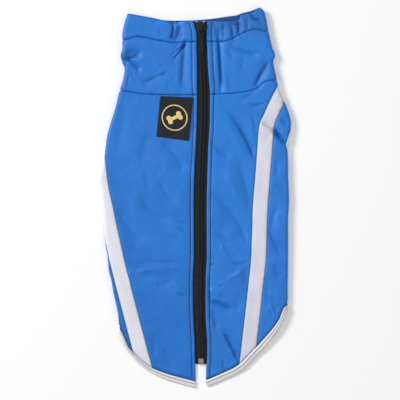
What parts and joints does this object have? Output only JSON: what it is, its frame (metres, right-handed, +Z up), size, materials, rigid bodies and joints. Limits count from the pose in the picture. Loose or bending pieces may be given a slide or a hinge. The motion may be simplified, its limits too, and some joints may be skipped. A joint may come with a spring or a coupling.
{
  "type": "dog jacket",
  "caption": "Small dog's zip-back jacket lying flat: smooth nylon cloth body with collar, reflective stripes, bound leg holes and curved bound hem.",
  "frame": {"origin": "centre of the bounding box on the plane the jacket lies on", "axes": "+X across the jacket, +Y along its back towards the collar, +Z up from the surface"},
  "size_m": [0.1917, 0.3792, 0.0104],
  "materials": {
    "blue_cloth": "smooth woven nylon with a soft satin sheen",
    "reflective_tape": "silver reflective tape",
    "silver_binding": "silver-grey elastic binding",
    "zip_tape": "woven black tape",
    "zip_coil": "black nylon coil",
    "slider_paint": "black painted metal",
    "zip_metal": "dull steel",
    "label_cloth": "woven black label with a gold motif"
  },
  "bodies": {
    "jacket": {"collar_band": "blue_cloth", "neck_panel": "blue_cloth", "back_panel_left": "blue_cloth", "back_panel_right": "blue_cloth", "belly_panel": "blue_cloth", "reflective_stripe_left": "reflective_tape", "reflective_stripe_right": "reflective_tape", "leg_binding_left": "silver_binding", "leg_binding_right": "silver_binding", "hem_binding_left": "silver_binding", "hem_binding_right": "silver_binding", "hem_binding_belly": "silver_binding", "zip_tape_left": "zip_tape", "zip_tape_right": "zip_tape", "zip_teeth_left": "zip_coil", "zip_teeth_right": "zip_coil", "zip_slider": "slider_paint", "zip_top_stop_left": "zip_metal", "zip_top_stop_right": "zip_metal", "zip_end_box": "zip_metal", "neck_label": "label_cloth"},
    "pull": {"zip_pull": "slider_paint"}
  },
  "joints": [
    {"name": "zip_pull_hinge", "type": "hinge", "parent": "jacket", "child": "pull", "pos_m": [0.00612, 0.1674, 0.00863], "axis": [-1, 0, 0], "range_deg": [0, 165]}
  ]
}
